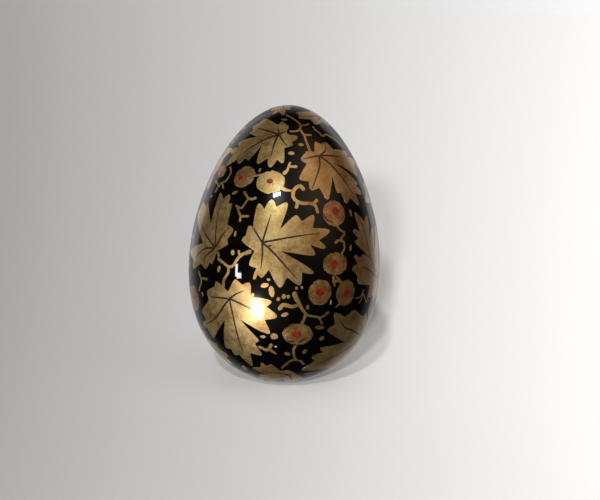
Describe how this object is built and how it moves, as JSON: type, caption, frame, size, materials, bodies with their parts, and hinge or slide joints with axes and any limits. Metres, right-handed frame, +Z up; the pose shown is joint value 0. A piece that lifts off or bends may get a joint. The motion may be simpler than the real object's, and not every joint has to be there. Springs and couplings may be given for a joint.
{
  "type": "painted wooden egg",
  "caption": "Goose-egg-sized turned wooden egg with gold leaves and berries on a black lacquered ground, standing on a small flat foot.",
  "frame": {"origin": "centre of the flat foot, on the plane that the egg stands on", "axes": "+Z up the egg's axis, towards its narrow end; -Y towards the side with the large five-lobed leaf; +X to the right as seen from -Y"},
  "size_m": [0.0692, 0.0692, 0.1],
  "materials": {
    "clear_lacquer": "gloss",
    "black_background": "gloss",
    "gilded_coat": "satin",
    "clay_ground": "matte",
    "linden_wood": "matte"
  },
  "bodies": {
    "root": {"lacquer_coat": "clear_lacquer", "background_paint": "black_background", "metal_coat": "gilded_coat", "ground_coat": "clay_ground", "wood_core": "linden_wood"}
  },
  "joints": []
}
